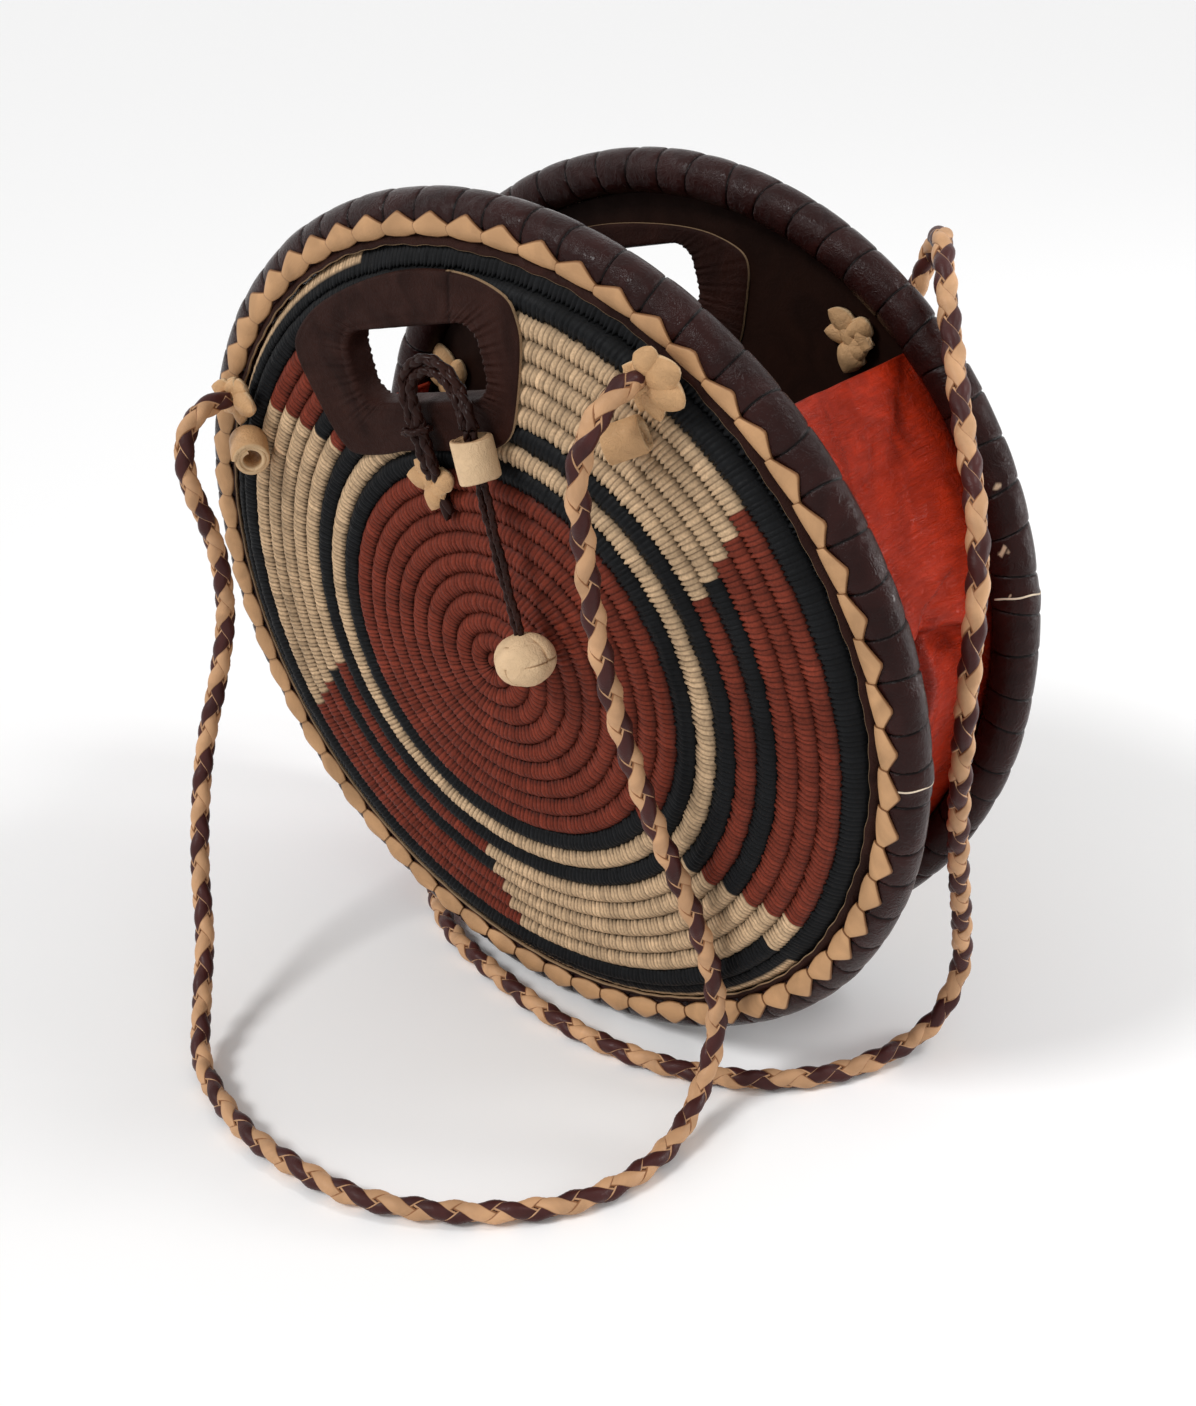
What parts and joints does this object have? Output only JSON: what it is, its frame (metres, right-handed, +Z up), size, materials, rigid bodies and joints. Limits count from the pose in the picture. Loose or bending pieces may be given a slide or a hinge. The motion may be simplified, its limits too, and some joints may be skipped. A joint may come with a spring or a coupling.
{
  "type": "woven_handbag",
  "caption": "Round handbag of two domed coiled-basket discs with dark leather rims, red leather gusset, a hand hole in each disc, a toggle closure and two long braided straps.",
  "frame": {"origin": "on the table under the middle of the bag's box, straps left out", "axes": "+Z up; the bag stands on its two rims with its front disc facing -Y; +X is to the right as seen from the front"},
  "size_m": [0.3638, 0.2985, 0.3557],
  "materials": {
    "coil": "matte",
    "dark_leather": "satin",
    "lining": "matte",
    "lacing": "matte",
    "red_leather": "satin",
    "strap": "matte",
    "tan_leather": "matte",
    "dark_cord": "matte"
  },
  "bodies": {
    "rear_panel": {"rear_basket": "coil", "rear_lining": "lining", "rear_rim_roll": "dark_leather", "rear_rim_band": "dark_leather", "rear_rim_lacing": "lacing", "rear_handle_facing": "dark_leather", "rear_handle_backing": "dark_leather", "rear_strap_knot_left": "tan_leather", "rear_strap_knot_right": "tan_leather", "gusset_right": "red_leather", "gusset_left": "red_leather", "gusset_bottom": "dark_leather", "rear_strap": "strap"},
    "front_panel": {"front_basket": "coil", "front_lining": "lining", "front_rim_roll": "dark_leather", "front_rim_band": "dark_leather", "front_rim_lacing": "lacing", "front_handle_facing": "dark_leather", "front_handle_backing": "dark_leather", "front_strap_knot_left": "tan_leather", "front_strap_knot_right": "tan_leather", "front_strap_bead_left": "tan_leather", "front_strap_bead_right": "tan_leather", "closure_anchor_knot": "tan_leather", "closure_arch": "dark_cord", "closure_keeper_loop": "dark_cord", "front_strap": "strap"},
    "closure_tail": {"closure_tail": "dark_cord", "closure_ball": "tan_leather"},
    "closure_slider": {"closure_slider": "tan_leather"}
  },
  "joints": [
    {"name": "mouth_hinge", "type": "hinge", "parent": "rear_panel", "child": "front_panel", "pos_m": [0.04262, -0.01956, 0.01249], "axis": [0.9724, -0.0284, 0.2317], "range_deg": [-8, 7], "deforming": ["gusset_right", "gusset_left", "gusset_bottom", "front_strap"]},
    {"name": "closure_tail_swing", "type": "hinge", "parent": "front_panel", "child": "closure_tail", "pos_m": [0.0124, -0.07994, 0.27677], "axis": [-0.969, 0.0295, -0.2454], "range_deg": [0, 60]},
    {"name": "closure_slider_slide", "type": "slide", "parent": "closure_tail", "child": "closure_slider", "axis": [0.2461, 0.0238, -0.9689], "range_m": [0, 0.045]}
  ]
}
